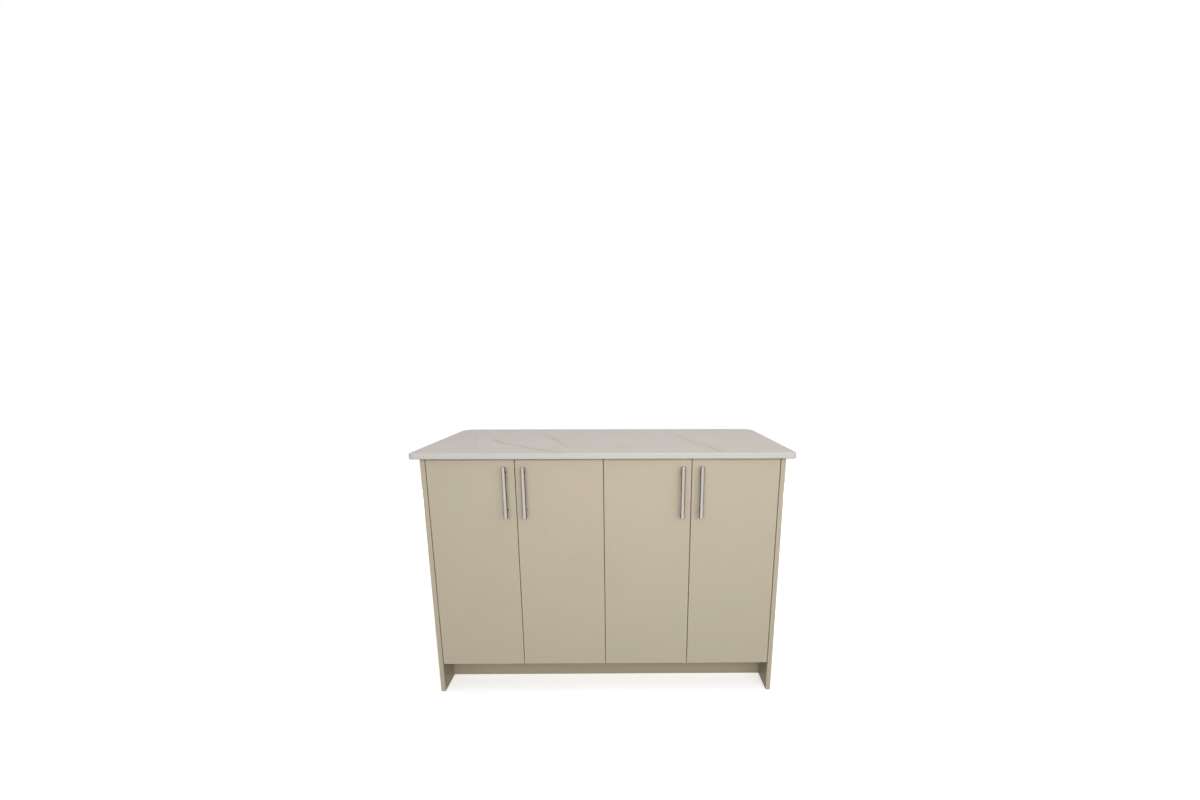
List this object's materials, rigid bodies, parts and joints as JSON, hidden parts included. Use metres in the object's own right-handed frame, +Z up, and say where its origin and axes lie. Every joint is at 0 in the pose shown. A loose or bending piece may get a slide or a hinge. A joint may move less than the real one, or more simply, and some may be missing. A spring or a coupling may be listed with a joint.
{
  "type": "kitchen island unit",
  "caption": "Kitchen island unit with hinged slab doors, bar handles, shelves inside, a recessed kickboard and an overhanging rounded worktop.",
  "frame": {"origin": "on the floor, at the middle of the whole unit's width and depth", "axes": "+X to the right seen from the doors, +Y from the doors to the rear, +Z up"},
  "size_m": [1.276, 0.657, 0.896],
  "materials": {
    "board": "matte beige decor on particle board",
    "stone": "polished pale engineered stone with faint veins",
    "handle_steel": "satin",
    "nickel_steel": "nickel plated pressed steel",
    "zinc_steel": "zinc plated",
    "black_plastic": "moulded",
    "clear_plastic": "soft clear bumper"
  },
  "bodies": {
    "cabinet": {"worktop": "stone", "end_panel_left": "board", "end_panel_right": "board", "rear_panel": "board", "kickboard": "board", "left_unit_outer_side": "board", "left_unit_inner_side": "board", "left_unit_bottom": "board", "left_unit_back": "board", "left_unit_front_rail": "board", "left_unit_rear_rail": "board", "left_unit_shelf": "board", "right_unit_inner_side": "board", "right_unit_outer_side": "board", "right_unit_bottom": "board", "right_unit_back": "board", "right_unit_front_rail": "board", "right_unit_rear_rail": "board", "right_unit_shelf": "board", "shelf_pins": "zinc_steel", "leg_sockets": "black_plastic", "leg_feet": "black_plastic", "kickboard_clips": "black_plastic", "carcass_screws": "zinc_steel", "unit_joining_bolts": "zinc_steel", "end_panel_screws": "zinc_steel", "rear_panel_screws": "zinc_steel", "hinge_plates": "nickel_steel", "hinge_arms": "nickel_steel", "plate_screws": "zinc_steel", "arm_screws": "zinc_steel", "door_bumpers": "clear_plastic"},
    "door_1": {"door_1_panel": "board", "door_1_handle_bar": "handle_steel", "door_1_handle_posts": "handle_steel", "door_1_handle_screws": "zinc_steel", "door_1_hinge_cups": "nickel_steel", "door_1_cup_screws": "zinc_steel"},
    "door_2": {"door_2_panel": "board", "door_2_handle_bar": "handle_steel", "door_2_handle_posts": "handle_steel", "door_2_handle_screws": "zinc_steel", "door_2_hinge_cups": "nickel_steel", "door_2_cup_screws": "zinc_steel"},
    "door_3": {"door_3_panel": "board", "door_3_handle_bar": "handle_steel", "door_3_handle_posts": "handle_steel", "door_3_handle_screws": "zinc_steel", "door_3_hinge_cups": "nickel_steel", "door_3_cup_screws": "zinc_steel"},
    "door_4": {"door_4_panel": "board", "door_4_handle_bar": "handle_steel", "door_4_handle_posts": "handle_steel", "door_4_handle_screws": "zinc_steel", "door_4_hinge_cups": "nickel_steel", "door_4_cup_screws": "zinc_steel"}
  },
  "joints": [
    {"name": "door_1_hinge", "type": "hinge", "parent": "cabinet", "child": "door_1", "pos_m": [-0.583, -0.2865, 0.4935], "axis": [0, 0, -1], "range_deg": [0, 95]},
    {"name": "door_2_hinge", "type": "hinge", "parent": "cabinet", "child": "door_2", "pos_m": [-0.0095, -0.2865, 0.4935], "axis": [0, 0, 1], "range_deg": [0, 80]},
    {"name": "door_3_hinge", "type": "hinge", "parent": "cabinet", "child": "door_3", "pos_m": [0.0095, -0.2865, 0.4935], "axis": [0, 0, -1], "range_deg": [0, 80]},
    {"name": "door_4_hinge", "type": "hinge", "parent": "cabinet", "child": "door_4", "pos_m": [0.583, -0.2865, 0.4935], "axis": [0, 0, 1], "range_deg": [0, 95]}
  ]
}
